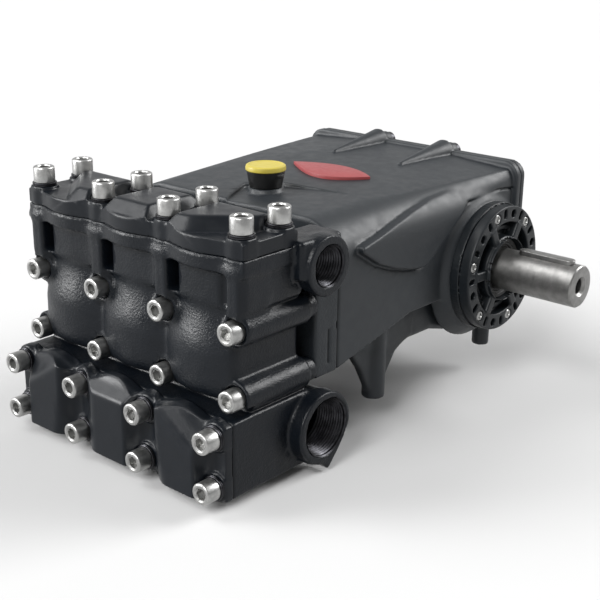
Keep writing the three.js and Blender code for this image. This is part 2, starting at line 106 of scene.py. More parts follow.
SCREW_HEAD_R = 8.2
SCREW_HEAD_H = 12
SOCKET_SIZE = 9.4                # across the corners
SOCKET_DEPTH = 6
HEAD_SCREW_SEAT = -292
HEAD_SCREW_ROWS = (56, 105.6)
TOP_SCREW_ROWS = (-287.5, -250.2)
FRONT_SCREW_ROWS = (33.9, -4.1)
WASHER = 2.5
TOP_COVER_LEVEL = 168.2
TOP_BOSS_LEVEL = 170.9
TOP_PAD_LEVEL = 177.5
FRONT_COVER_LEVEL = -313
FRONT_BOSS_LEVEL = -315.3
FRONT_PAD_LEVEL = -324.6

CASE_FRONT = -192
CASE_BACK = 50
FLANGE_FRONT = -218
FOOT_X = 95
FOOT_Y = (-124, 36)
FOOT_BORE_R = 5.3
CROSSHEAD_BORE_R = 30.3
ROD_PASSAGE_R = 20
BULLET_X = 37
REAR_FRAME_HALF = 103
REAR_FRAME_MIDDLE = 99.5
REAR_FRAME_HALF_HEIGHT = 55
SIGHT_Z = 78
DRAIN_Z = 50
BOSS_FACE = 125
BEARING_FACE = 135
BEARING_BORE_R = 40.3
BEARING_SCREW_ANGLE = 47
BEARING_SCREW_CIRCLE_R = 47
BEARING_SCREW_SEAT = 132.5
SPOKE_ANGLE = 59
HUB_FACE = 139.5
BOSS_R = 53.8
COLLAR_R = 54.9
CAP_Y = -150

RIGHT, LEFT = 1, -1              # sides of the middle plane
ADAPTIVITY = 0.01                # how far flat areas are thinned out when a field is meshed


# ---------------------------------------------------------------- distance fields

class Grid:
    """Sample points of a box, in mm. A field is an array of signed distances at those points."""

    def __init__(self, low, high, step):
        self.low = np.array(low, float)
        self.step = step
        axes = [np.arange(a, b + step, step, dtype=np.float32) for a, b in zip(low, high)]
        self.x, self.y, self.z = np.meshgrid(*axes, indexing="ij", sparse=True)
        self.shape = tuple(len(axis) for axis in axes)

    def axes(self, along):
        """The coordinate along an axis, then the other two in X, Y, Z order."""
        return {
            "x": (self.x, self.y, self.z),
            "y": (self.y, self.x, self.z),
            "z": (self.z, self.x, self.y),
        }[along]


def join(a, b, soft=0.0):
    """Union of two fields, with a fillet about as wide as soft."""
    if not soft:
        return np.minimum(a, b)
    near = np.maximum(soft - np.abs(a - b), 0)
    return np.minimum(a, b) - near * near / (4 * soft)


def cut(a, b, soft=0.0):
    return -join(-a, b, soft)


def common(a, b, soft=0.0):
    return -join(-a, -b, soft)


def push(flat, along, start, end, edge=0.0):
    """A flat field pushed along an axis, with its rims rounded by edge."""
    a = np.abs(along - (start + end) / 2) - (end - start) / 2 + edge
    b = flat + edge
    return np.hypot(np.maximum(a, 0), np.maximum(b, 0)) + np.minimum(np.maximum(a, b), 0) - edge


def box(g, x, y, z, edge=0.0):
    q = [np.abs(c - (r[0] + r[1]) / 2) - (r[1] - r[0]) / 2 + edge
         for c, r in ((g.x, x), (g.y, y), (g.z, z))]
    outside = np.sqrt(sum(np.maximum(c, 0) ** 2 for c in q))
    return outside + np.minimum(np.maximum(np.maximum(q[0], q[1]), q[2]), 0) - edge


def rod(g, along, centre, start, end, radius, edge=0.0, end_radius=None):
    """A cylinder, or a cone that reaches end_radius at its far end."""
    a, u, v = g.axes(along)
    distance = np.hypot(u - centre[0], v - centre[1])
    if end_radius is None:
        return push(distance - radius, a, start, end, edge)
    t = np.clip((a - start) / (end - start), 0, 1)
    return push(distance - radius - (end_radius - radius) * t, a, start, end, edge)


def polygon(u, v, points):
    """Distance to a closed outline in a plane, negative inside."""
    square = np.float32(1e9)
    sign = np.float32(1)
    for (ax, ay), (bx, by) in zip(points, points[1:] + points[:1]):
        ex, ey = bx - ax, by - ay
        wx, wy = u - ax, v - ay
        t = np.clip((wx * ex + wy * ey) / (ex * ex + ey * ey), 0, 1)
        square = np.minimum(square, (wx - ex * t) ** 2 + (wy - ey * t) ** 2)
        above, below, left = v >= ay, v < by, ex * wy > ey * wx
        flip = (above & below & left) | (~above & ~below & ~left)
        sign = np.where(flip, -sign, sign)
    return sign * np.sqrt(square)


def span(side, start, end):
    """A range along X on one side of the middle plane, lowest first."""
    return sorted((side * start, side * end))


def side_name(side):
    return "right" if side == RIGHT else "left"


def pad(u, v, height, corners, top, soft=2.0):
    """A raised convex pad. Each corner is (u, v, slope): its place on the pad's top, and how
    far the flank from there to the next corner runs out for each unit of drop."""
    field = height - top
    centre = np.mean([corner[:2] for corner in corners], axis=0)
    for (au, av, slope), (bu, bv, _) in zip(corners, corners[1:] + corners[:1]):
        nu, nv = bv - av, au - bu
        if nu * (centre[0] - au) + nv * (centre[1] - av) > 0:
            nu, nv = -nu, -nv
        out = ((u - au) * nu + (v - av) * nv) / math.hypot(nu, nv)
        field = common(field, (out + (height - top) * slope) / math.hypot(1, slope), soft)
    return field


def mirrored(corners):
    """The same pad on the other side of the middle plane."""
    slopes = [corner[2] for corner in corners]
    flipped = [(-u, v) for u, v, _ in corners]
    return [(u, v, slope) for (u, v), slope in zip(flipped, slopes)]


def sample(array, spots):
    """Trilinear values of an array at grid positions."""
    base = np.clip(np.floor(spots).astype(int), 0, np.array(array.shape) - 2)
    part = spots - base
    total = 0
    for corner in np.ndindex(2, 2, 2):
        weight = np.prod(np.where(corner, part, 1 - part), axis=1)
        total = total + weight * array[tuple((base + corner).T)]
    return total


def surface(name, g, field):
    """A smooth mesh object where a field is zero."""
    field = np.array(np.broadcast_to(field, g.shape), np.float32)
    grid = openvdb.FloatGrid(4 * g.step)
    grid.copyFromArray(field)
    points, triangles, quads = grid.convertToPolygons(isovalue=0.0, adaptivity=ADAPTIVITY)
    slopes = np.stack([sample(part, points) for part in np.gradient(field)], axis=1)
    slopes /= np.maximum(np.linalg.norm(slopes, axis=1, keepdims=True), 1e-9)
    faces = [tuple(face) for face in quads] + [tuple(face) for face in triangles]
    mesh = bpy.data.meshes.new(name)
    mesh.from_pydata(((points * g.step + g.low) * MM).tolist(), [], faces)
    mesh.update()
    facing = sum(np.dot(mesh.polygons[i].normal, slopes[mesh.polygons[i].vertices[0]])
                 for i in range(0, len(faces), max(1, len(faces) // 200)))
    if facing < 0:
        mesh.flip_normals()
    mesh.shade_smooth()
    mesh.normals_split_custom_set_from_vertices(slopes.tolist())
    return link(name, mesh)


# ---------------------------------------------------------------- plain meshes

def link(name, data):
    made = bpy.data.objects.new(name, data)
    bpy.context.scene.collection.objects.link(made)
    return made


def lathe(profile, sides=64):
    """Vertices and faces of a profile of (radius, height) turned about Z.

    End points on the axis close it.
    """
    points, faces, rings = [], [], []
    for radius, height in profile:
        if radius == 0:
            rings.append([len(points)] * sides)
            points.append((0, 0, height))
            continue
        rings.append(list(range(len(points), len(points) + sides)))
        for i in range(sides):
            a = 2 * math.pi * i / sides
            points.append((radius * math.cos(a), radius * math.sin(a), height))
    for low, high in zip(rings, rings[1:]):
        for i in range(sides):
            j = (i + 1) % sides
            corners = [low[i], low[j], high[j], high[i]]
            faces.append(tuple(dict.fromkeys(corners)))
    return points, faces


TURN = {
    "x": Matrix(((0, 0, 1), (1, 0, 0), (0, 1, 0))),
    "-x": Matrix(((0, 0, -1), (1, 0, 0), (0, -1, 0))),
    "y": Matrix(((1, 0, 0), (0, 0, 1), (0, -1, 0))),
    "-y": Matrix(((1, 0, 0), (0, 0, -1), (0, 1, 0))),
    "z": Matrix.Identity(3),
}


def turned(name, profile, axis, place, sides=64, smooth_angle=35):
    """A turned piece whose own Z axis lies along an axis, at a place in mm."""
    points, faces = lathe(profile, sides)
    turn = TURN[axis]
    mesh = bpy.data.meshes.new(name)
    mesh.from_pydata([(turn @ Vector(p) + Vector(place)) * MM for p in points], [], faces)
    mesh.validate()
    return smoothed(link(name, mesh), smooth_angle)


def smoothed(made, angle):
    """Smooth shading that keeps the edges sharper than an angle in degrees."""
    made.data.shade_smooth()
    made.data.set_sharp_from_angle(angle=math.radians(angle))
    return made


def prism(name, outline, low, high):
    """An upright prism over an outline in X and Y."""
    count = len(outline)
    points = [(x * MM, y * MM, z * MM) for z in (low, high) for x, y in outline]
    bottom = tuple(range(count))[::-1]
    top = tuple(range(count, 2 * count))
    sides = [(i, (i + 1) % count, count + (i + 1) % count, count + i) for i in range(count)]
    mesh = bpy.data.meshes.new(name)
    mesh.from_pydata(points, [], [bottom, top, *sides])
    return link(name, mesh)


def slab(name, outline, low, high, edge):
    """A flat plate over an outline in X and Y, with its edges rounded."""
    made = prism(name, outline, low, high)
    bevel = made.modifiers.new("bevel", "BEVEL")
    bevel.width = edge * MM
    bevel.segments = 3
    bevel.limit_method = "ANGLE"
    bevel.angle_limit = math.radians(30)
    return smoothed(apply(made), 40)


def apply(made):
    """Replaces an object's mesh by what its modifiers make of it."""
    evaluated = made.evaluated_get(bpy.context.evaluated_depsgraph_get())
    mesh = bpy.data.meshes.new_from_object(evaluated)
    made.modifiers.clear()
    made.data = mesh
    return made


def subtract(made, tool):
    """Cuts an object by another one, which is then removed."""
    modifier = made.modifiers.new("boolean", "BOOLEAN")
    modifier.operation = "DIFFERENCE"
    modifier.solver = "MANIFOLD"
    modifier.object = tool
    bpy.context.view_layer.update()
    apply(made)
    bpy.data.objects.remove(tool)


# ---------------------------------------------------------------- materials

class Nodes:
    """A material's node tree, with short calls for what the finishes need."""

    def __init__(self, name):
        self.material = bpy.data.materials.new(name)
        self.material.use_nodes = True
        self.tree = self.material.node_tree
        self.shader = self.tree.nodes["Principled BSDF"]
        self.place = self.tree.nodes.new("ShaderNodeTexCoord").outputs["Object"]

    def set(self, **values):
        for key, value in values.items():
            self.shader.inputs[key.replace("_", " ")].default_value = value

    def link(self, a, b):
        self.tree.links.new(a, b)

    def noise(self, size, detail=3.0, roughness=0.55, stretch=None):
        """Noise with features about size mm across; stretch scales the coordinates first."""
        node = self.tree.nodes.new("ShaderNodeTexNoise")
        node.inputs["Scale"].default_value = 1000 / size
        node.inputs["Detail"].default_value = detail
        node.inputs["Roughness"].default_value = roughness
        place = self.place
        if stretch:
            mapping = self.tree.nodes.new("ShaderNodeMapping")
            mapping.inputs["Scale"].default_value = stretch
            self.link(place, mapping.inputs["Vector"])
            place = mapping.outputs["Vector"]
        self.link(place, node.inputs["Vector"])
        return node.outputs["Fac"]

    def ramp(self, value, low, high, out_low, out_high):
        node = self.tree.nodes.new("ShaderNodeMapRange")
        node.inputs["From Min"].default_value = low
        node.inputs["From Max"].default_value = high
        node.inputs["To Min"].default_value = out_low
        node.inputs["To Max"].default_value = out_high
        self.link(value, node.inputs["Value"])
        return node.outputs["Result"]

    def mix(self, value, first, second):
        node = self.tree.nodes.new("ShaderNodeMix")
        node.data_type = "RGBA"
        node.inputs["A"].default_value = (*first, 1)
        node.inputs["B"].default_value = (*second, 1)
        self.link(value, node.inputs["Factor"])
        return node.outputs["Result"]

    def bump(self, layers):
        """Bumps from (height, depth in mm) layers, one on another."""
        normal = None
        for height, depth in layers:
            node = self.tree.nodes.new("ShaderNodeBump")
            node.inputs["Strength"].default_value = 1.0
            node.inputs["Distance"].default_value = depth * MM
            self.link(height, node.inputs["Height"])
            if normal:
                self.link(normal, node.inputs["Normal"])
            normal = node.outputs["Normal"]
        self.link(normal, self.shader.inputs["Normal"])


def painted(name, dark, light, rough, grain, depth, shine):
    """Paint on a casting: an orange-peel grain over slight unevenness."""
    nodes = Nodes(name)
    nodes.set(IOR=1.5, Specular_IOR_Level=shine)
    nodes.link(nodes.mix(nodes.noise(40, 2), dark, light), nodes.shader.inputs["Base Color"])
    nodes.link(nodes.ramp(nodes.noise(10), 0.35, 0.65, rough - 0.04, rough + 0.05),
               nodes.shader.inputs["Roughness"])
    nodes.bump([(nodes.noise(grain, 2.5), depth), (nodes.noise(grain * 7, 2), depth * 1.2)])
    return nodes.material


def metal(name, dark, light, rough, grain, depth, stretch=None):
    """Bare or plated metal: fine tool marks or plating grain and uneven polish."""
    nodes = Nodes(name)
    nodes.set(Metallic=1.0)
    nodes.link(nodes.mix(nodes.ramp(nodes.noise(6), 0.35, 0.65, 0, 1), dark, light),
               nodes.shader.inputs["Base Color"])
    wear = nodes.noise(grain * 2, 3, 0.6, stretch)
    nodes.link(nodes.ramp(wear, 0.3, 0.7, rough - 0.07, rough + 0.1),
               nodes.shader.inputs["Roughness"])
    nodes.bump([(nodes.noise(grain, 3, 0.6, stretch), depth)])
    return nodes.material


def plastic(name, dark, light, rough, grain=0.6, depth=0.02):
    nodes = Nodes(name)
    nodes.link(nodes.mix(nodes.noise(12, 2), dark, light), nodes.shader.inputs["Base Color"])
    nodes.link(nodes.ramp(nodes.noise(5), 0.35, 0.65, rough - 0.04, rough + 0.05),
               nodes.shader.inputs["Roughness"])
    nodes.bump([(nodes.noise(grain, 2), depth)])
    return nodes.material


CASE_DARK = (0.0085, 0.0105, 0.0128)
CASE_LIGHT = (0.0115, 0.0145, 0.0175)

FINISH = {
    "enamel": painted("cast_enamel", (0.002, 0.003, 0.0045), (0.004, 0.0055, 0.008),
                      rough=0.33, grain=1.5, depth=0.32, shine=0.22),
    "cover": painted("cover_enamel", (0.0022, 0.0032, 0.0048), (0.0045, 0.006, 0.0085),
                     rough=0.34, grain=1.2, depth=0.04, shine=0.22),
    "satin": painted("case_paint", CASE_DARK, CASE_LIGHT,
                     rough=0.48, grain=0.8, depth=0.05, shine=0.38),
    "rough": painted("rough_case_paint", CASE_DARK, CASE_LIGHT,
                     rough=0.5, grain=1.5, depth=0.35, shine=0.3),
    "bearing_cover": painted("bearing_cover_paint", (0.005, 0.0065, 0.008), (0.008, 0.01, 0.012),
                             rough=0.4, grain=0.7, depth=0.04, shine=0.25),
    "zinc": metal("zinc_plate", (0.31, 0.31, 0.305), (0.44, 0.44, 0.43),
                  rough=0.34, grain=0.5, depth=0.004),
    "shaft": metal("ground_steel", (0.2, 0.198, 0.193), (0.26, 0.257, 0.25),
                   rough=0.4, grain=0.5, depth=0.001, stretch=(1, 0.05, 0.05)),
    "drive": metal("forged_steel", (0.2, 0.2, 0.21), (0.32, 0.32, 0.33),
                   rough=0.42, grain=1.2, depth=0.05),
    "bearing": metal("bearing_steel", (0.6, 0.6, 0.6), (0.7, 0.7, 0.7),
                     rough=0.22, grain=0.6, depth=0.008),
    "oxide": metal("black_oxide", (0.02, 0.02, 0.022), (0.05, 0.05, 0.055),
                   rough=0.36, grain=0.6, depth=0.02),
    "ceramic": plastic("white_ceramic", (0.78, 0.76, 0.7), (0.84, 0.83, 0.79),
                       rough=0.18, grain=1, depth=0.004),
    "rubber": plastic("black_rubber", (0.012, 0.012, 0.012), (0.02, 0.02, 0.02),
                      rough=0.6, grain=0.5, depth=0.03),
    "black_plastic": plastic("black_plastic", (0.004, 0.004, 0.004), (0.008, 0.008, 0.008), rough=0.4),
    "yellow": plastic("yellow_plastic", (0.33, 0.27, 0.03), (0.38, 0.31, 0.045), rough=0.42),
    "red": plastic("red_label", (0.18, 0.026, 0.028), (0.22, 0.036, 0.038), rough=0.5),
    "sight": plastic("sight_glass", (0.4, 0.42, 0.3), (0.5, 0.52, 0.4),
                     rough=0.08, grain=3, depth=0.002),
}

# The finish of each CAD node that is kept as it comes, by the start of its name
CARRIED = {
    "main_bearing": "bearing",
    "con_rod": "drive",
    "wrist_pin": "bearing",
    "crosshead": "drive",
    "plunger": "ceramic",
    "packing": "rubber",
    "suction_valve": "bearing",
    "discharge_valve": "bearing",
}


def dress(piece, finish):
    piece.data.materials.clear()
    piece.data.materials.append(FINISH[finish])


def place(piece, finish, slot, body="pump_body", nodes=()):
    """Gives a piece its finish and the body that carries it, and hides the CAD nodes that it stands for.
    """
    dress(piece, finish)
    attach(piece, body)
    if nodes:
        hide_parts(*nodes)


# ---------------------------------------------------------------- pump head

def rim_outline(g, grow=0.0):
    """Flat field of the rim's and the top cover's plan: a lobe over each plunger, front and rear,
    a boss round each top screw, and straight ends."""
    middle = sum(TOP_SCREW_ROWS) / 2
    fold = middle - np.abs(g.y - middle)
    across = np.abs(g.x) - RIM_HALF - grow
    flat = np.maximum(across, middle - 27.4 - fold - grow)
    for x in CYLINDERS:
        flat = join(flat, np.hypot(g.x - x, fold + 243) - 59 - grow, 4)
    for x in COLUMNS:
        flat = join(flat, np.hypot(g.x - x, fold - TOP_SCREW_ROWS[0]) - 10 - grow, 1.5)
    return np.maximum(flat, across)


def head_lobes(g):
    """The front of the head: a broad bulge over each plunger that draws back above it."""
    rise = np.clip((g.z - 82) / 36, 0, 1)
    draw = 8 * rise * rise * (3 - 2 * rise) + 3 * np.clip((66 - g.z) / 16, 0, 2) ** 2
    front = None
    for x in CYLINDERS:
        lobe = np.hypot(g.x - x, g.y + 226) - 76 + draw
        front = lobe if front is None else join(front, lobe, 3)
    return common(front, box(g, (-104, 104), (-320, -230), (50.5, 152)), 6)


def head_posts(g, field):
    """Posts that carry the top screws, with a deep pocket on each side."""
    for x in COLUMNS:
        field = join(field, box(g, (x - 6, x + 6), (-297.6, -270), (112, 150), 2), 7)
        if x < 100:
            field = cut(field, box(g, (x + 6.3, x + 15), (-320, -270), (121, 144.6), 2.2), 2)
        else:
            field = cut(field, box(g, (x - 13, x - 6.5), (-320, -291), (121, 144.6), 2), 5)
    return field


def head_ports(g, field):
    """Round flanges on necks at both ends of the two galleries."""
    # The suction flange is round, with a flat on its lower rear and a lug below
    round_part = np.hypot(g.y - MANIFOLD_Y + 1, g.z - SUCTION_Z) - 28
    flat_y, flat_z, flat_distance = 0.83, -0.56, 25
    flat = flat_y * (g.y - MANIFOLD_Y) + flat_z * (g.z - SUCTION_Z) - flat_distance
    lug = polygon(g.y, g.z, [(-240, -8), (-224, -14), (-217, -20.5), (-212, -15.5), (-200, 2),
                             (-220, 8)])
    suction_flange = join(common(round_part, flat, 3), lug, 3)
    for side in (LEFT, RIGHT):
        def along(start, end, centre, radius, edge=0.0):
            return rod(g, "x", (MANIFOLD_Y, centre), *span(side, start, end), radius, edge)
        field = join(field, along(0, PORT_FACE - 6, DISCHARGE_Z, 19.5, 2), 4)
        field = join(field, along(PORT_FACE - 12, PORT_FACE, DISCHARGE_Z, 22.3, 0.8), 1.5)
        field = join(field, box(g, span(side, 92, 122), (-246, -202), (132, 160.5), 3), 3)
        field = join(field, along(0, PORT_FACE - 6, SUCTION_Z, 26, 2), 6)
        flange = push(suction_flange, g.x, *span(side, PORT_FACE - 13, PORT_FACE), 0.7)
        field = join(field, flange, 1.5)
        for centre, bore in ((DISCHARGE_Z, DISCHARGE_PORT_R), (SUCTION_Z, SUCTION_PORT_R)):
            field = cut(field, along(PORT_FACE - THREAD_DEPTH - 2, 140, centre, bore))
    return field


def pump_head():
    g = Grid((-129, -309, -24), (129, -189, 163), 1.25)
    field = box(g, (-WAIST_HALF, WAIST_HALF), (-287, HEAD_BACK), (36, 150), 4)
    field = join(field, head_lobes(g), 4)
    # The upper side walls and the posts
    field = join(field, box(g, (-BLOCK_HALF, BLOCK_HALF), (-294, -234), (118, 150), 4), 5)
    field = head_posts(g, field)
    # Long screw bosses: crescents at the front, ribs along the two sides, spacers at the back
    for x in COLUMNS:
        for z in HEAD_SCREW_ROWS:
            boss = rod(g, "y", (x, z), HEAD_SCREW_SEAT - 2, HEAD_BACK - 1, 11.8, 1.5)
            field = join(field, boss, 4)
            spacer = rod(g, "y", (x, z), HEAD_BACK - 4, FLANGE_FRONT - GAP, 9.5, 0.5)
            field = join(field, spacer, 1.5)
    # The groove between the lobes and the lower block
    field = cut(field, box(g, (-140, 140), (-320, -286), (42.5, 50), 2), 3)
    lower = box(g, (-BLOCK_HALF, BLOCK_HALF), (LOWER_BLOCK_FRONT, HEAD_BACK),
                (HEAD_LOW, LOWER_BLOCK_TOP), 2)
    field = join(field, lower, 4)
    field = join(field, push(rim_outline(g), g.z, RIM_LOW, HEAD_TOP, 0.5), 5)
    field = head_ports(g, field)
    for x in COLUMNS:
        for z in HEAD_SCREW_ROWS:
            field = cut(field, rod(g, "y", (x, z), -330, HEAD_SCREW_SEAT, 9.6), 0.6)
    return surface("pump_head_casting", g, inner_passages(g, field))


def inner_passages(g, field):
    """Bores for the plungers, the valves and the galleries."""
    for x in CYLINDERS:
        field = cut(field, rod(g, "y", (x, AXIS_Z), -290, -200, PLUNGER_BORE_R))
        field = cut(field, rod(g, "y", (x, AXIS_Z), -244, -200, PACKING_BORE_R))
        field = cut(field, rod(g, "z", (x, VALVE_Y), SUCTION_VALVE_Z, 170, 12))
        field = cut(field, rod(g, "z", (x, VALVE_Y), 122, 170, 17))
        field = cut(field, rod(g, "y", (x, SUCTION_VALVE_Z), -320, -246, 19))
        field = cut(field, rod(g, "y", (x, SUCTION_VALVE_Z), -250, -222, 13))
        field = cut(field, rod(g, "y", (x, DISCHARGE_Z), VALVE_Y, MANIFOLD_Y, 9))
    field = cut(field, rod(g, "x", (MANIFOLD_Y, DISCHARGE_Z), -140, 140, DISCHARGE_PORT_R - 2))
    return cut(field, rod(g, "x", (MANIFOLD_Y, SUCTION_Z), -140, 140, SUCTION_PORT_R - 2))


def port_thread(name, side, centre_z, mouth):
    """A sleeve with a pipe thread in a port's mouth, chamfered out to the mouth's radius."""
    outer = mouth + 0.15
    crest = mouth - 1.5
    root = crest + 0.9
    profile = [(outer, 0), (outer, THREAD_DEPTH), (root, THREAD_DEPTH - 0.9)]
    for i in range(int(THREAD_DEPTH / THREAD_TURN), 0, -1):
        top = i * THREAD_TURN - 1.4
        profile += [(root, top), (crest, top - THREAD_TURN * 0.42), (crest, top - THREAD_TURN * 0.58)]
    profile += [(root, 0), (outer, 0)]
    start = (side * (PORT_FACE - 0.1 - THREAD_DEPTH), MANIFOLD_Y, centre_z)
    return turned(name, profile, "x" if side == RIGHT else "-x", start, 72, 20)


# ---------------------------------------------------------------- valve covers

def top_cover():
    g = Grid((-119, -305, 154), (119, -232, 180), 0.9)
    low = HEAD_TOP + GAP
    outline = rim_outline(g, -GAP)
    field = push(outline, g.z, low, TOP_COVER_LEVEL, 0.6)
    right = [(47, -291, 1.0), (60, -291, 1.0), (95, -259, 0.5), (95, -250, 1.0), (47, -250, 0.6)]
    middle = [(-18, -291, 1.0), (18, -291, 0.6), (18, -250, 1.0), (-18, -250, 0.6)]
    for corners in (right, middle, mirrored(right)):
        raised = pad(g.x, g.y, g.z, corners, TOP_PAD_LEVEL)
        field = join(field, common(raised, push(outline, g.z, low, 200)), 1.2)
    for x in COLUMNS:
        for y in TOP_SCREW_ROWS:
            boss = common(rod(g, "z", (x, y), low, TOP_BOSS_LEVEL, 10.6, 0.8), outline)
            field = join(field, boss, 1.5)
            field = cut(field, rod(g, "z", (x, y), TOP_BOSS_LEVEL, 190, 10), 0.6)
    for x in CYLINDERS:
        field = cut(field, rod(g, "z", (x, VALVE_Y), 150, 166, VALVE_SPIGOT_R))
    return surface("top_cover_casting", g, field)


def front_cover_outline(g):
    """Flat field of the front cover's face: a straight foot and a scalloped upper edge."""
    flat = np.maximum(np.abs(g.x) - BLOCK_HALF, np.abs(g.z - 13) - 28)
    for x in CYLINDERS:
        flat = join(flat, np.hypot(g.x - x, g.z - 14) - 33.5, 5)
    for x in COLUMNS:
        flat = join(flat, np.hypot(g.x - x, g.z - FRONT_SCREW_ROWS[0]) - 11.2, 3)
    return np.maximum(flat, np.maximum(np.abs(g.x) - BLOCK_HALF, HEAD_LOW + 0.5 - g.z))


def front_cover():
    g = Grid((-117, -328, -19), (117, -303, 53), 0.9)
    back = LOWER_BLOCK_FRONT - GAP
    outline = front_cover_outline(g)
    field = push(outline, g.y, FRONT_COVER_LEVEL, back, 0.9)
    right = [(64, -30, 0.5), (92.5, -30, 0.45), (92.5, 21, 1.5), (54, 46, 0.8), (54, 20, 1.7)]
    middle = [(-16, -30, 0.5), (20.5, -30, 0.6), (20.5, 35.5, 1.0), (-16, 35.5, 1.7)]
    for corners in (right, middle, mirrored(right)):
        raised = pad(g.x, g.z, -g.y, corners, -FRONT_PAD_LEVEL)
        field = join(field, common(raised, push(outline, g.y, -340, back), 0.8), 6)
    for x in COLUMNS:
        for z in FRONT_SCREW_ROWS:
            boss = common(rod(g, "y", (x, z), FRONT_BOSS_LEVEL, back, 11, 0.8), outline)
            field = join(field, boss, 1.5)
            field = cut(field, rod(g, "y", (x, z), -340, FRONT_BOSS_LEVEL, 10.2), 1.2)
    for x in CYLINDERS:
        field = cut(field, rod(g, "y", (x, SUCTION_VALVE_Z), -314, -300, VALVE_SPIGOT_R))
    return surface("front_cover_casting", g, field)


# ---------------------------------------------------------------- crankcase

def rounded_section(g, half, top, shoulder):
    """Flat field of an upright section with rounded upper corners."""
    qx = np.abs(g.x) - half + shoulder
    qz = g.z - top + shoulder
    outside = np.hypot(np.maximum(qx, 0), np.maximum(qz, 0))
    return outside + np.minimum(np.maximum(qx, qz), 0) - shoulder


def rounded_rectangle(g, half, middle, half_height, radius):
    """Flat field of an upright rectangle, from the centres of its corners and their radius."""
    beside = np.maximum(np.abs(g.x) - half, 0)
    above = np.maximum(np.abs(g.z - middle) - half_height, 0)
    return np.hypot(beside, above) - radius


def rear_frame(g, radius):
    return rounded_rectangle(g, REAR_FRAME_HALF, REAR_FRAME_MIDDLE, REAR_FRAME_HALF_HEIGHT, radius)


def case_shell(g):
    """The case's body: upright sides, a shoulder that is wide in front and tight at the back."""
    t = np.clip((g.y - CASE_FRONT) / (CASE_BACK - CASE_FRONT), 0, 1)
    low = 48 + 21 * np.clip((g.y - CASE_FRONT) / 90, 0, 1)
    section = rounded_section(g, 111.5 + 2 * t, 160 + 6.5 * t, 36 - 21 * t)
    # Creases on the top: from the bullets out to the sides, then forward along them
    for side in (LEFT, RIGHT):
        crease = flank(g, (side * BULLET_X, -18, 165.8), (side * 91, -128, 161.5),
                       (side * 105, 50, 162.6))
        section = np.maximum(section, crease)
    return push(np.maximum(section, low - g.z), g.y, CASE_FRONT, CASE_BACK, 2)


def flank(g, a, b, c):
    """Distance above the plane through three points."""
    normal = np.cross(np.subtract(b, a), np.subtract(c, a))
    normal = normal / np.linalg.norm(normal) * (1 if normal[2] > 0 else -1)
    return (g.x - a[0]) * normal[0] + (g.y - a[1]) * normal[1] + (g.z - a[2]) * normal[2]


# Side outlines in Y and Z
WING = [(-175, 138), (-149, 121.5), (-130, 114), (-110, 108.5), (-92, 105.5), (-84, 107.5),
        (-57, 126), (-28, 147), (20, 150), (60, 146), (60, 158), (-45, 158.5), (-72, 157),
        (-100, 153), (-129, 147.5), (-149, 143)]
KEEL = [(-192, 100), (-192, 50), (-150, 44), (-100, 38), (-50, 37), (-26, 30), (50, 30), (50, 100)]
FOOT_WEB = [(-166, 56), (-146, 30), (-134, 8), (-124, 2), (-113, 14), (-100, 32), (-80, 42),
            (-80, 60)]


def crankcase():
    g = Grid((-129, -221, -4), (129, 54, 182), 1.4)
    field = case_shell(g)
    wing = polygon(g.y, g.z, WING)
    skin = rounded_section(g, 117, 163, 27)
    field = join(field, common(common(wing, skin, 1), np.abs(g.y + 60) - 110), 0.6)
    under_wing = np.maximum(np.abs(wing - 1.3) - 0.9, g.z - 138 - 0.08 * (g.y + 175))
    field = cut(field, np.maximum(under_wing, 110.5 - np.abs(g.x)), 1.0)
    field = join(field, push(polygon(g.y, g.z, KEEL), g.x, -99, 99, 5), 3)
    # The rear flange that the rear cover closes
    field = join(field, push(rear_frame(g, 14), g.y, 43, CASE_BACK, 1.0), 1.2)
    foot_web = polygon(g.y, g.z, FOOT_WEB)
    for side in (LEFT, RIGHT):
        # The bearing housing, on a skirt that narrows away from the case
        first_r, last_r = (66, 56) if side == RIGHT else (56, 66)
        skirt = rod(g, "x", (0, AXIS_Z), *span(side, 104, 117), first_r, 1, last_r)
        field = join(field, common(skirt, g.z - 155, 2), 4)
        field = join(field, rod(g, "x", (0, AXIS_Z), *span(side, 104, BOSS_FACE), BOSS_R, 0.5), 1)
        for y, radius in zip(FOOT_Y, (9.4, 7.6)):
            field = join(field, rod(g, "z", (side * FOOT_X, y), 0, 60, radius, 0.8), 3)
        field = join(field, push(foot_web, g.x, *span(side, FOOT_X - 3.5, FOOT_X + 3.5), 1.5), 3)
        bullet = rod(g, "y", (side * BULLET_X, 165.5), -20, 48, 1.5, 1, 12)
        field = join(field, bullet, 1.2)
    field = top_details(g, field)
    return surface("crankcase_casting", g, case_hollows(g, field))


def head_flange():
    """The rough-cast plate at the front of the crankcase that the head is screwed to."""
    g = Grid((-115, -220, 45), (115, -190, 119), 1.2)
    field = box(g, (-FLANGE_HALF, FLANGE_HALF), (FLANGE_FRONT, CASE_FRONT - GAP), (48, 116), 2)
    for x in CYLINDERS:
        field = cut(field, rod(g, "y", (x, AXIS_Z), -230, -180, ROD_PASSAGE_R))
    for face in (-FLANGE_HALF, FLANGE_HALF):
        field = cut(field, box(g, (face - 1.6, face + 1.6), (-204, -202), (56, 84)))
        field = cut(field, box(g, (face - 3, face + 3), (-194.5, -180), (82, 88)))
    return surface("head_flange_casting", g, field)


def top_details(g, field):
    """The recess round the oil filler and its neck."""
    recess = polygon(g.x, g.y, [(18, -232), (-24, -150), (-20, -136), (-8, -128), (62, -122),
                                (74, -232)])
    bottom = 157.3 + (g.x + 20) * 0.055
    field = cut(field, common(push(recess, g.z, 120, 200), bottom - g.z), 1.2)
    field = join(field, rod(g, "z", (0, CAP_Y), 130, 163, 14.5, 1.5), 2.5)
    return cut(field, rod(g, "z", (0, CAP_Y), 110, 170, 12.2))


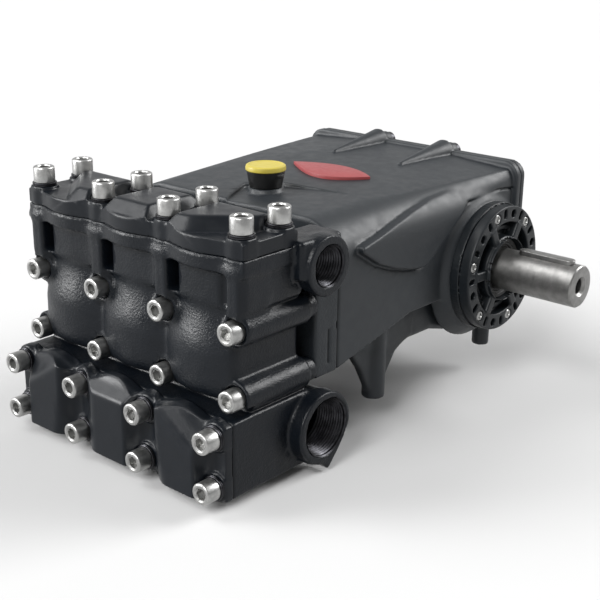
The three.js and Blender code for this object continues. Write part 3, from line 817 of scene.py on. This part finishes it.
def case_hollows(g, field):
    """Room for the crank, the crossheads and the bearings."""
    field = cut(field, box(g, (-93, 93), (-58, 60), (42, 134)))
    vault = common(rod(g, "y", (0, 94), -58, 60, 61), box(g, (-79, 79), (-60, 60), (130, 155)))
    field = cut(field, vault)
    for x in CYLINDERS:
        field = cut(field, rod(g, "y", (x, AXIS_Z), -165, -55, CROSSHEAD_BORE_R))
        field = cut(field, rod(g, "y", (x, AXIS_Z), -230, -164, ROD_PASSAGE_R))
    field = cut(field, rod(g, "x", (0, AXIS_Z), -130, 130, BEARING_BORE_R))
    for x in (-FOOT_X, FOOT_X):
        for y in FOOT_Y:
            field = cut(field, rod(g, "z", (x, y), -10, 20, FOOT_BORE_R))
    return field


def rear_cover():
    g = Grid((-120, 48, 26), (120, 70, 176), 1.2)
    start = CASE_BACK + 0.6
    field = push(rear_frame(g, 13.4), g.y, start, start + 7, 1.5)
    panel = rounded_rectangle(g, 72, 99, 29, 20)
    field = join(field, push(panel, g.y, start + 2, start + 10, 2.5), 3)
    for x in (-BULLET_X, BULLET_X):
        field = join(field, rod(g, "y", (x, 165), start, start + 9, 8.5, 1.5), 3)
    field = cut(field, rod(g, "y", (0, SIGHT_Z), 40, 80, 13))
    field = cut(field, rod(g, "y", (0, DRAIN_Z), 40, 80, 7))
    return surface("rear_cover_casting", g, field)


# ---------------------------------------------------------------- bearing covers

def bearing_cover(side):
    """A spoked cap over a main bearing; the right one lets the shaft through."""
    low, high = span(side, 114, 142)
    g = Grid((low, -57, AXIS_Z - 57), (high, 57, AXIS_Z + 57), 0.8)
    radius = np.hypot(g.y, g.z - AXIS_Z)
    out = side * g.x

    def ring(start, end, outer, inner=0.0, edge=0.0):
        return push(np.maximum(radius - outer, inner - radius), out, start, end, edge)

    def ray(degrees):
        """Distances along and across a direction from the shaft's axis."""
        angle = math.radians(degrees)
        along = g.y * math.cos(angle) + (g.z - AXIS_Z) * math.sin(angle)
        across = -g.y * math.sin(angle) + (g.z - AXIS_Z) * math.cos(angle)
        return along, across

    field = ring(BOSS_FACE + GAP, BEARING_FACE, 53.5, 0, 1.0)
    field = join(field, ring(117.5, 126, COLLAR_R, BOSS_R + 0.2))
    field = join(field, ring(117, 127, 39.8))
    hub_face = HUB_FACE if side == RIGHT else BEARING_FACE
    spoke_face = BEARING_FACE + 1.2 if side == RIGHT else BEARING_FACE
    field = join(field, ring(126, hub_face, 27, 0, 1.0), 0.8)
    window = ring(126.5, 150, 40, 28, 0.5)
    for n in range(6):
        along, across = ray(SPOKE_ANGLE + 60 * n)
        spoke = np.maximum(np.abs(across) - 4, -along)
        window = np.maximum(window, -push(spoke, out, 100, 150))
    field = cut(field, window, 0.8)
    for n in range(6):
        along, across = ray(SPOKE_ANGLE + 60 * n)
        spoke = np.maximum(np.abs(across) - 4, np.abs(along - 33.5) - 8)
        field = join(field, push(spoke, out, 127, spoke_face, 1.0), 0.5)
    field = join(field, ring(120, 129.5, 36.5, 32.5, 0.5))
    for n in range(6):
        along, across = ray(BEARING_SCREW_ANGLE + 60 * n)
        counterbore = np.hypot(along - BEARING_SCREW_CIRCLE_R, across) - 4.6
        field = cut(field, push(counterbore, out, BEARING_SCREW_SEAT, 150), 0.5)
        along, across = ray(BEARING_SCREW_ANGLE + 30 + 60 * n)
        hole = np.hypot(along - BEARING_SCREW_CIRCLE_R, across) - 3.5
        field = cut(field, push(hole, out, BEARING_FACE - 5, 150), 0.4)
        for turn in (14.5, 45.5):
            along, across = ray(BEARING_SCREW_ANGLE + turn + 60 * n)
            slot = np.hypot(np.maximum(np.abs(along - 47.5) - 2, 0), across) - 2.3
            field = cut(field, push(slot, out, BEARING_FACE - 4, 150), 0.4)
    if side == RIGHT:
        field = cut(field, ring(110, 150, 20))
        field = cut(field, ring(124, 150, 26.3))
    else:
        field = cut(field, ring(110, 127, 20))
    return surface(f"bearing_cover_{side_name(side)}_casting", g, field)


# ---------------------------------------------------------------- screws, washers, small parts

def hexagon(size, low, high):
    """A hexagonal prism tool, size across its corners."""
    points, faces = lathe([(0, low), (size / 2, low), (size / 2, high), (0, high)], 6)
    mesh = bpy.data.meshes.new("hexagon")
    mesh.from_pydata([Vector(p) * MM for p in points], [], faces)
    mesh.validate()
    return link("hexagon", mesh)


def cap_screw_mesh(length):
    """A socket-head cap screw standing on its under-head plane, head towards +Z."""
    r, h = SCREW_HEAD_R, SCREW_HEAD_H
    shank = [(0, -length), (4.6, -length), (5.4, -length + 1), (5.4, 0)]
    head = [(r - 0.3, 0), (r, 0.3), (r, h - 1.2), (r - 0.25, h - 0.6), (r - 0.8, h - 0.15),
            (r - 1.6, h), (5.7, h), (5.3, h - 0.2), (4.8, h - 1.0), (0, h - 1.0)]
    screw = turned("screw_blank", shank + head, "z", (0, 0, 0), 48, 30)
    subtract(screw, hexagon(SOCKET_SIZE, h - SOCKET_DEPTH, h + 1))
    smoothed(screw, 30)
    mesh = screw.data
    bpy.data.objects.remove(screw)
    mesh.materials.clear()
    mesh.materials.append(FINISH["zinc"])
    return mesh


def put_screw(node, mesh, axis, spot, spin):
    piece = link(node + "_visual", mesh)
    turn = TURN[axis].to_4x4() @ Matrix.Rotation(spin, 4, "Z")
    piece.matrix_world = Matrix.Translation(Vector(spot) * MM) @ turn
    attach(piece, "pump_body")
    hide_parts(node)


def washer(name, axis, spot):
    """A split spring washer, turned as a whole ring with a groove round its rim."""
    profile = [(5.8, 0.1), (6, 0), (8.9, 0), (9.3, 0.35), (9.3, 0.95), (8.8, 1.2), (8.8, 1.35),
               (9.3, 1.6), (9.3, 2.15), (8.9, 2.45), (6, 2.45), (5.8, 2.35), (5.8, 0.1)]
    place(turned(name, profile, axis, spot, 48, 30), "oxide", "screws")


def screws_and_washers():
    short = cap_screw_mesh(42)
    long = cap_screw_mesh(88)
    rng = np.random.default_rng(4)

    def spin():
        return float(rng.uniform(0, math.pi / 3))

    top = [(x, y) for y in TOP_SCREW_ROWS for x in COLUMNS]
    for n, (x, y) in enumerate(top, 1):
        put_screw(f"top_screw_{n}", short, "z", (x, y, TOP_BOSS_LEVEL + WASHER), spin())
        washer(f"top_washer_{n}", "z", (x, y, TOP_BOSS_LEVEL))
    head = [(x, z) for z in HEAD_SCREW_ROWS for x in COLUMNS]
    for n, (x, z) in enumerate(head, 1):
        put_screw(f"head_screw_{n}", long, "-y", (x, HEAD_SCREW_SEAT - GAP, z), spin())
    front = [(x, z) for z in FRONT_SCREW_ROWS for x in COLUMNS]
    for n, (x, z) in enumerate(front, 1):
        put_screw(f"front_cover_screw_{n}", short, "-y", (x, FRONT_BOSS_LEVEL - WASHER, z), spin())
        washer(f"front_washer_{n}", "-y", (x, FRONT_BOSS_LEVEL, z))


def small_screws():
    """The screws round the bearing covers, and the two bolts behind the bullets."""
    profile = [(0, -3), (3, -3), (3, 0), (3.9, 0), (4.1, 0.3), (4.1, 1.6), (3.6, 2.2), (2.4, 2.4),
               (2.1, 1.3), (0, 1.2)]
    for side, axis in ((RIGHT, "x"), (LEFT, "-x")):
        for n in range(6):
            angle = math.radians(BEARING_SCREW_ANGLE + 60 * n)
            spot = (side * BEARING_SCREW_SEAT, BEARING_SCREW_CIRCLE_R * math.cos(angle),
                    AXIS_Z + BEARING_SCREW_CIRCLE_R * math.sin(angle))
            name = f"bearing_screw_{side_name(side)}_{n + 1}"
            place(turned(name, profile, axis, spot, 32, 30), "zinc", "screws")
    profile = [(0, -8), (4, -8), (4, 0), (6.8, 0), (7, 0.3), (7, 5), (6.4, 6), (3.4, 6), (3, 4.5),
               (0, 4.5)]
    for n, x in enumerate((-BULLET_X, BULLET_X), 1):
        bolt = turned(f"rear_bolt_{n}", profile, "y", (x, 59.6, 165), 32, 30)
        place(bolt, "oxide", "screws")


def crank_pin(n):
    angle = math.radians(PHASES[n])
    return THROW * math.cos(angle), AXIS_Z + THROW * math.sin(angle)


def crankshaft():
    axis = (0, 0, AXIS_Z)
    r = SHAFT_R
    shoulder = [(0, 80), (WEB_R, 80), (WEB_R, 93.5), (r + 1, 93.5), (r + 1, SHAFT_SHOULDER)]
    drive_end = [(r, SHAFT_SHOULDER), (r, SHAFT_END - 1.2), (r - 0.9, SHAFT_END - 0.1),
                 (r - 1.3, SHAFT_END)]
    centre_hole = [(8.4, SHAFT_END), (8, SHAFT_END - 0.3), (6.4, SHAFT_END - 2.5),
                   (6.2, SHAFT_END - 14), (0, SHAFT_END - 16)]
    shaft = turned("crankshaft_visual", shoulder + drive_end + centre_hole, "x", axis, 96, 30)
    subtract(shaft, prism("keyway", capsule(149.4, 200.6, 5.15), AXIS_Z + 12.3, AXIS_Z + 30))
    smoothed(shaft, 30)
    place(shaft, "shaft", "shaft", "crank", ["crankshaft"])
    journal = [(0, -118), (r - 1, -118), (r, -117), (r, -93.5), (WEB_R, -93.5), (WEB_R, -84),
               (0, -84)]
    left = turned("crank_left_journal", journal, "x", axis, 64, 30)
    place(left, "drive", "drive_steel", "crank")
    for n, (start, end) in enumerate(CRANK_WEBS, 1):
        profile = [(0, start), (WEB_R - 1, start), (WEB_R, start + 1), (WEB_R, end - 1),
                   (WEB_R - 1, end), (0, end)]
        place(turned(f"crank_web_{n}", profile, "x", axis), "drive", "drive_steel", "crank")
    for n, x in enumerate(CYLINDERS):
        y, z = crank_pin(n)
        profile = [(0, x - 14.4), (22.8, x - 14.4), (22.8, x + 14.4), (0, x + 14.4)]
        pin = turned(f"crankpin_{n + 1}", profile, "x", (0, y, z))
        place(pin, "drive", "drive_steel", "crank")


def capsule(x0, x1, r):
    """A slot's outline in X and Y with round ends."""
    points = []
    steps = 8
    for centre, start in ((x1 - r, -90), (x0 + r, 90)):
        for i in range(steps + 1):
            angle = math.radians(start + 180 * i / steps)
            points.append((centre + r * math.cos(angle), r * math.sin(angle)))
    return points


def shaft_key():
    outline = capsule(*KEY_SPAN, KEY_HALF_WIDTH)
    key = slab("key_visual", outline, AXIS_Z + KEY_FLOOR, AXIS_Z + SHAFT_R + 3, 0.5)
    place(key, "shaft", "shaft", "crank", ["shaft_key"])


def shaft_seal():
    r = SHAFT_R + GAP
    profile = [(r, 124.3), (25.8, 124.3), (25.8, 132.8), (25.3, 133.4), (22.5, 133.4), (22, 132.6),
               (20.4, 132.4), (19.6, 131), (18.6, 131), (r, 133), (r, 124.3)]
    seal = turned("seal_visual", profile, "x", (0, 0, AXIS_Z), 96, 30)
    place(seal, "rubber", "seals", "pump_body", ["shaft_seal"])


def oil_cap():
    body = [(0, 145), (11.5, 145), (11.5, 163.5), (13, 163.5), (13.3, 164), (15.4, 175.2),
            (15.5, 176.4), (0, 176.4)]
    place(turned("oil_cap_body", body, "z", (0, CAP_Y, 0), 64, 30), "black_plastic", "oil_cap",
          "oil_filler_cap", ["oil_cap"])
    disc = [(0, 176.4), (15.8, 176.4), (16.3, 177), (16.3, 178.8), (15.9, 180.2), (15, 180.8),
            (13.9, 180.9), (13.3, 180.5), (0, 180.4)]
    place(turned("oil_cap_disc", disc, "z", (0, CAP_Y, 0), 64, 30), "yellow", "oil_cap", "oil_filler_cap")
    outline = [(13, -153.5), (17.6, -152.5), (18.3, -150), (17.6, -147.5), (13, -146.5)]
    tab = slab("oil_cap_tab", outline, 172, 175, 0.6)
    place(tab, "black_plastic", "oil_cap", "oil_filler_cap")


def plaque():
    """A plain lens-shaped plate on top of the crankcase."""
    middle_x, half_length = 5, 42
    tips_y, back_bow, front_bow = -74, 16, 23
    back, front = [], []
    steps = 24
    for i in range(steps + 1):
        u = 2 * i / steps - 1
        bow = 1 - u * u
        x = middle_x + half_length * u
        back.append((x, tips_y + back_bow * bow))
        front.append((x, tips_y - front_bow * bow * (1 + 0.35 * u)))
    plate = slab("plaque", front + back[-2:0:-1], 162, 165.4, 0.2)
    place(plate, "red", "crankcase")


def sight_and_drain():
    sight = (0, CASE_BACK, SIGHT_Z)
    ring = [(12.7, 2), (12.7, 10.4), (15.2, 10.4), (15.6, 10.8), (15.6, 14.2), (15, 14.8),
            (12.4, 14.8), (11.8, 14.2), (11.8, 2), (12.7, 2)]
    place(turned("sight_glass_ring", ring, "y", sight), "oxide", "sight_glass")
    lens = [(0, 2), (11.6, 2), (11.6, 12.6), (9, 13.4), (0, 13.8)]
    place(turned("sight_glass_lens", lens, "y", sight), "sight", "sight_glass", "pump_body",
          ["sight_glass"])
    drain = (0, CASE_BACK, DRAIN_Z)
    plug = [(0, 2), (6.5, 2), (6.5, 10.6), (12, 10.6), (12.4, 11), (12.4, 12), (0, 12)]
    place(turned("drain_plug_flange", plug, "y", drain), "zinc", "screws", "pump_body",
          ["drain_plug"])
    head = [(0, 11.9), (9.6, 11.9), (10, 12.3), (10, 17), (9.2, 17.9), (0, 17.9)]
    place(turned("drain_plug_head", head, "y", drain, 6, 20), "zinc", "screws")


# ---------------------------------------------------------------- stage

CAMERA_SPOT = (0.6116, -0.8142, 0.3833)
CAMERA_HEADING = 40.822
CAMERA_DIP = 19.358
CAMERA_ROLL = 0.697
FLOOR_HALF = 40
SUN_DISTANCE = 3

# Direction of each light from the object, its angle in degrees and its strength
SUNS = {
    "key": ((0.13, -0.76, 0.62), 26, 3.0),
    "left": ((-0.74, -0.62, 0.25), 24, 3.2),
    "left_top": ((-0.6, -0.33, 0.72), 34, 1.8),
    "right": ((0.42, 0.7, 0.55), 32, 3.4),
    "back": ((-0.5, 0.75, 0.35), 70, 0.4),
}


def camera():
    data = bpy.data.cameras.new("camera")
    data.lens = 69.057
    data.sensor_width = 36
    data.clip_end = 30
    made = link("camera", data)
    made.matrix_world = (
        Matrix.Translation(CAMERA_SPOT)
        @ Matrix.Rotation(math.radians(CAMERA_HEADING), 4, "Z")
        @ Matrix.Rotation(math.radians(90 - CAMERA_DIP), 4, "X")
        @ Matrix.Rotation(math.radians(CAMERA_ROLL), 4, "Z")
    )
    bpy.context.scene.camera = made


def floor(level):
    half = FLOOR_HALF
    corners = [(-half, -half, level), (half, -half, level), (half, half, level), (-half, half, level)]
    mesh = bpy.data.meshes.new("floor")
    mesh.from_pydata(corners, [], [(0, 1, 2, 3)])
    made = link("floor", mesh)
    nodes = Nodes("pale_floor")
    nodes.link(nodes.mix(nodes.noise(300, 2), (0.43, 0.43, 0.43), (0.45, 0.45, 0.45)),
               nodes.shader.inputs["Base Color"])
    nodes.set(Roughness=0.9, Specular_IOR_Level=0.0)
    made.data.materials.append(nodes.material)


def sun(name, direction, angle, strength):
    """A far, soft light that points at the origin."""
    data = bpy.data.lights.new(name, "SUN")
    data.angle = math.radians(angle)
    data.energy = strength
    made = link(name, data)
    made.location = Vector(direction) * SUN_DISTANCE
    made.rotation_mode = "QUATERNION"
    made.rotation_quaternion = (-Vector(direction)).to_track_quat("-Z", "Y")


def studio():
    world = bpy.data.worlds.new("studio")
    world.use_nodes = True
    background = world.node_tree.nodes["Background"]
    background.inputs["Color"].default_value = (1, 1, 1, 1)
    background.inputs["Strength"].default_value = 0.4
    bpy.context.scene.world = world
    for name, (direction, angle, strength) in SUNS.items():
        sun(name, direction, angle, strength)
    bpy.context.scene.view_settings.view_transform = "Standard"


# ---------------------------------------------------------------- assembly

def main():
    camera()
    floor(cad_box[0][2] - 0.001)
    studio()
    place(pump_head(), "enamel", "pump_head", "pump_body", ["pump_head"])
    for side in (RIGHT, LEFT):
        for port, centre, bore in (("discharge", DISCHARGE_Z, DISCHARGE_PORT_R),
                                   ("suction", SUCTION_Z, SUCTION_PORT_R)):
            name = f"{port}_thread_{side_name(side)}"
            place(port_thread(name, side, centre, bore), "oxide", "pump_head")
    place(top_cover(), "cover", "valve_covers", "pump_body", ["top_valve_cover"])
    place(front_cover(), "cover", "valve_covers", "pump_body", ["front_valve_cover"])
    place(crankcase(), "satin", "crankcase", "pump_body", ["crankcase"])
    place(head_flange(), "rough", "crankcase")
    place(rear_cover(), "satin", "crankcase", "pump_body", ["rear_cover"])
    for side in (RIGHT, LEFT):
        node = f"bearing_cover_{side_name(side)}"
        place(bearing_cover(side), "bearing_cover", "bearing_cover", "pump_body", [node])
    screws_and_washers()
    small_screws()
    crankshaft()
    shaft_key()
    shaft_seal()
    oil_cap()
    plaque()
    sight_and_drain()
    for name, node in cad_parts.items():
        for prefix, finish in CARRIED.items():
            if name.startswith(prefix):
                dress(node, finish)


main()
